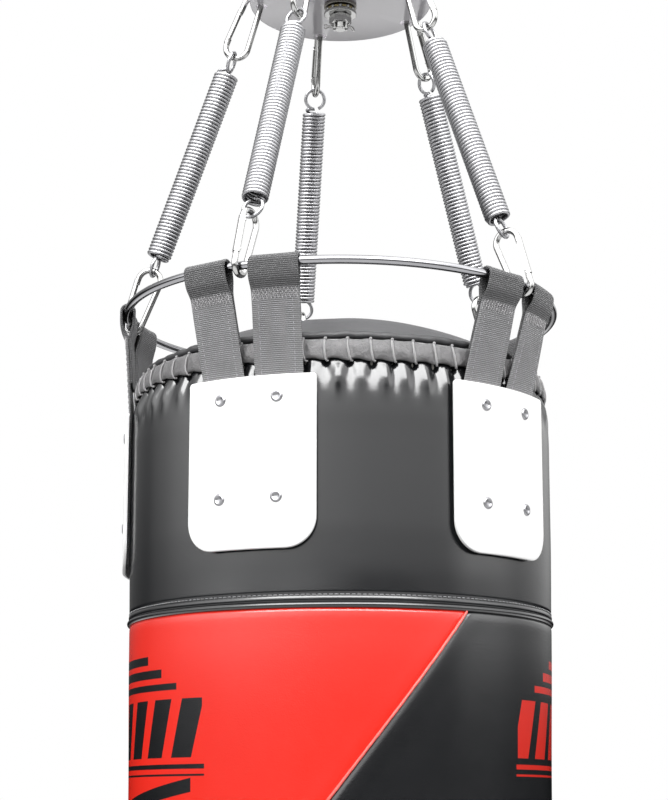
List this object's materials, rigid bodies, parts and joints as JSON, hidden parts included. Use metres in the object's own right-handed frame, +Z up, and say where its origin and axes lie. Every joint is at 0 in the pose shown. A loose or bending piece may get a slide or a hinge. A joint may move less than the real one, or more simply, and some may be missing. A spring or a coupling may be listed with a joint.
{
  "type": "heavy punching bag",
  "caption": "Round heavy bag hung on springs and snap hooks from a swivel plate with a bow shackle, with webbing straps sewn to a steel ring.",
  "frame": {"origin": "bearing point inside the top of the shackle bow, where a hook or a beam clamp holds the bag", "axes": "+Z up along the hanging line, -Y the front of the bag"},
  "size_m": [0.3747, 0.3723, 1.6353],
  "materials": {
    "chrome_ring": "polished",
    "zinc_steel": "bright",
    "spring_steel": "bright",
    "cage_brass": "satin",
    "plate_paint": "glossy",
    "black_vinyl": "semi gloss grained vinyl",
    "red_vinyl": "semi gloss vinyl",
    "white_vinyl": "satin vinyl",
    "webbing": "woven",
    "hem_vinyl": "satin vinyl",
    "filling_textile": "packed textile"
  },
  "bodies": {
    "shackle": {"shackle_bow": "zinc_steel", "shackle_pin": "zinc_steel"},
    "swing_bolt": {"eye_bolt": "zinc_steel", "lower_race": "zinc_steel", "ball_cage": "cage_brass", "castle_nut": "zinc_steel", "cotter_pin": "zinc_steel"},
    "plate": {"hanger_plate": "plate_paint", "upper_race": "zinc_steel"},
    "bag": {"top_ring": "chrome_ring", "strap_1_left": "webbing", "strap_1_right": "webbing", "strap_2_left": "webbing", "strap_2_right": "webbing", "strap_3_left": "webbing", "strap_3_right": "webbing", "strap_4_left": "webbing", "strap_4_right": "webbing", "strap_5_left": "webbing", "strap_5_right": "webbing", "patch_1": "white_vinyl", "patch_2": "white_vinyl", "patch_3": "white_vinyl", "patch_4": "white_vinyl", "patch_5": "white_vinyl", "top_cover": "black_vinyl", "top_hem": "hem_vinyl", "upper_band": "black_vinyl", "upper_piping": "black_vinyl", "red_panel": "red_vinyl", "black_panel": "black_vinyl", "lower_piping": "black_vinyl", "lower_band": "black_vinyl", "base_panel": "black_vinyl", "filling": "filling_textile"},
    "upper_link_1": {"upper_hook_1": "zinc_steel", "spring_1": "spring_steel"},
    "lower_link_1": {"lower_hook_1": "zinc_steel"},
    "upper_gate_body_1": {"upper_gate_1": "zinc_steel"},
    "lower_gate_body_1": {"lower_gate_1": "zinc_steel"},
    "upper_link_2": {"upper_hook_2": "zinc_steel", "spring_2": "spring_steel"},
    "lower_link_2": {"lower_hook_2": "zinc_steel"},
    "upper_gate_body_2": {"upper_gate_2": "zinc_steel"},
    "lower_gate_body_2": {"lower_gate_2": "zinc_steel"},
    "upper_link_3": {"upper_hook_3": "zinc_steel", "spring_3": "spring_steel"},
    "lower_link_3": {"lower_hook_3": "zinc_steel"},
    "upper_gate_body_3": {"upper_gate_3": "zinc_steel"},
    "lower_gate_body_3": {"lower_gate_3": "zinc_steel"},
    "upper_link_4": {"upper_hook_4": "zinc_steel", "spring_4": "spring_steel"},
    "lower_link_4": {"lower_hook_4": "zinc_steel"},
    "upper_gate_body_4": {"upper_gate_4": "zinc_steel"},
    "lower_gate_body_4": {"lower_gate_4": "zinc_steel"},
    "upper_link_5": {"upper_hook_5": "zinc_steel", "spring_5": "spring_steel"},
    "lower_link_5": {"lower_hook_5": "zinc_steel"},
    "upper_gate_body_5": {"upper_gate_5": "zinc_steel"},
    "lower_gate_body_5": {"lower_gate_5": "zinc_steel"}
  },
  "joints": [
    {"name": "swing", "type": "hinge", "parent": "shackle", "child": "swing_bolt", "pos_m": [0, 0, -0.04], "axis": [1, 0, 0], "range_deg": [-35, 35]},
    {"name": "swivel", "type": "hinge", "parent": "swing_bolt", "child": "plate", "pos_m": [0, 0, -0.0713], "axis": [0, 0, 1], "continuous": true},
    {"name": "bounce", "type": "slide", "parent": "plate", "child": "bag", "axis": [0, 0, 1], "range_m": [-0.04, 0], "stiffness_N_per_m": 11000, "springref_m": 0.05},
    {"name": "chain_tilt_1", "type": "hinge", "parent": "plate", "child": "upper_link_1", "pos_m": [-0.02777, -0.07235, -0.0713], "axis": [0.8758, -0.4826, 0], "range_deg": [0, 2.25]},
    {"name": "spring_stretch_1", "type": "slide", "parent": "upper_link_1", "child": "lower_link_1", "axis": [-0.1625, -0.295, -0.9416], "range_m": [0, 0.038], "deforming": ["spring_1"]},
    {"name": "upper_gate_turn_1", "type": "hinge", "parent": "upper_link_1", "child": "upper_gate_body_1", "pos_m": [-0.03811, -0.09111, -0.10251], "axis": [-0.8758, 0.4826, 0], "range_deg": [0, 18], "stiffness_Nm_per_rad": 0.02, "springref_deg": -28.65},
    {"name": "lower_gate_turn_1", "type": "hinge", "parent": "lower_link_1", "child": "lower_gate_body_1", "pos_m": [-0.07648, -0.16074, -0.32475], "axis": [0.8758, -0.4826, 0], "range_deg": [0, 18], "stiffness_Nm_per_rad": 0.02, "springref_deg": -28.65},
    {"name": "chain_tilt_2", "type": "hinge", "parent": "plate", "child": "upper_link_2", "pos_m": [0.06023, -0.04877, -0.0713], "axis": [0.5506, 0.8348, 0], "range_deg": [0, 2.25]},
    {"name": "spring_stretch_2", "type": "slide", "parent": "upper_link_2", "child": "lower_link_2", "axis": [0.2807, -0.1851, -0.9418], "range_m": [0, 0.038], "deforming": ["spring_2"]},
    {"name": "upper_gate_turn_2", "type": "hinge", "parent": "upper_link_2", "child": "upper_gate_body_2", "pos_m": [0.07809, -0.06056, -0.10252], "axis": [-0.5506, -0.8348, 0], "range_deg": [0, 18], "stiffness_Nm_per_rad": 0.02, "springref_deg": -28.65},
    {"name": "lower_gate_turn_2", "type": "hinge", "parent": "lower_link_2", "child": "lower_gate_body_2", "pos_m": [0.14432, -0.10424, -0.32474], "axis": [0.5506, 0.8348, 0], "range_deg": [0, 18], "stiffness_Nm_per_rad": 0.02, "springref_deg": -28.65},
    {"name": "chain_tilt_3", "type": "hinge", "parent": "plate", "child": "upper_link_3", "pos_m": [0.065, 0.04221, -0.0713], "axis": [-0.6987, 0.7154, 0], "range_deg": [0, 2.26]},
    {"name": "spring_stretch_3", "type": "slide", "parent": "upper_link_3", "child": "lower_link_3", "axis": [0.2419, 0.2362, -0.9411], "range_m": [0, 0.038], "deforming": ["spring_3"]},
    {"name": "upper_gate_turn_3", "type": "hinge", "parent": "upper_link_3", "child": "upper_gate_body_3", "pos_m": [0.08035, 0.0572, -0.10248], "axis": [0.6987, -0.7154, 0], "range_deg": [0, 18], "stiffness_Nm_per_rad": 0.02, "springref_deg": -28.65},
    {"name": "lower_gate_turn_3", "type": "hinge", "parent": "lower_link_3", "child": "lower_gate_body_3", "pos_m": [0.13748, 0.113, -0.32475], "axis": [-0.6987, 0.7154, 0], "range_deg": [0, 18], "stiffness_Nm_per_rad": 0.02, "springref_deg": -28.65},
    {"name": "chain_tilt_4", "type": "hinge", "parent": "plate", "child": "upper_link_4", "pos_m": [-0.02006, 0.07486, -0.0713], "axis": [-0.9828, -0.1845, 0], "range_deg": [0, 2.24]},
    {"name": "spring_stretch_4", "type": "slide", "parent": "upper_link_4", "child": "lower_link_4", "axis": [-0.062, 0.3302, -0.9419], "range_m": [0, 0.038], "deforming": ["spring_4"]},
    {"name": "upper_gate_turn_4", "type": "hinge", "parent": "upper_link_4", "child": "upper_gate_body_4", "pos_m": [-0.024, 0.09588, -0.10253], "axis": [0.9828, 0.1845, 0], "range_deg": [0, 18], "stiffness_Nm_per_rad": 0.02, "springref_deg": -28.65},
    {"name": "lower_gate_turn_4", "type": "hinge", "parent": "lower_link_4", "child": "lower_gate_body_4", "pos_m": [-0.03863, 0.17379, -0.32474], "axis": [-0.9828, -0.1845, 0], "range_deg": [0, 18], "stiffness_Nm_per_rad": 0.02, "springref_deg": -28.65},
    {"name": "chain_tilt_5", "type": "hinge", "parent": "plate", "child": "upper_link_5", "pos_m": [-0.07739, 0.00406, -0.0713], "axis": [-0.1283, -0.9917, 0], "range_deg": [0, 2.24]},
    {"name": "spring_stretch_5", "type": "slide", "parent": "upper_link_5", "child": "lower_link_5", "axis": [-0.3332, 0.0431, -0.9419], "range_m": [0, 0.038], "deforming": ["spring_5"]},
    {"name": "upper_gate_turn_5", "type": "hinge", "parent": "upper_link_5", "child": "upper_gate_body_5", "pos_m": [-0.09861, 0.0068, -0.10253], "axis": [0.1283, 0.9917, 0], "range_deg": [0, 18], "stiffness_Nm_per_rad": 0.02, "springref_deg": -28.65},
    {"name": "lower_gate_turn_5", "type": "hinge", "parent": "lower_link_5", "child": "lower_gate_body_5", "pos_m": [-0.17722, 0.01697, -0.32474], "axis": [-0.1283, -0.9917, 0], "range_deg": [0, 18], "stiffness_Nm_per_rad": 0.02, "springref_deg": -28.65}
  ],
  "couplings": [
    {"joint": "chain_tilt_1", "follows": "bounce", "rad_per_m": -0.97243},
    {"joint": "spring_stretch_1", "follows": "bounce", "ratio": -0.94812},
    {"joint": "chain_tilt_2", "follows": "bounce", "rad_per_m": -0.9709},
    {"joint": "spring_stretch_2", "follows": "bounce", "ratio": -0.94831},
    {"joint": "chain_tilt_3", "follows": "bounce", "rad_per_m": -0.97579},
    {"joint": "spring_stretch_3", "follows": "bounce", "ratio": -0.94771},
    {"joint": "chain_tilt_4", "follows": "bounce", "rad_per_m": -0.97028},
    {"joint": "spring_stretch_4", "follows": "bounce", "ratio": -0.94839},
    {"joint": "chain_tilt_5", "follows": "bounce", "rad_per_m": -0.97028},
    {"joint": "spring_stretch_5", "follows": "bounce", "ratio": -0.94839}
  ]
}
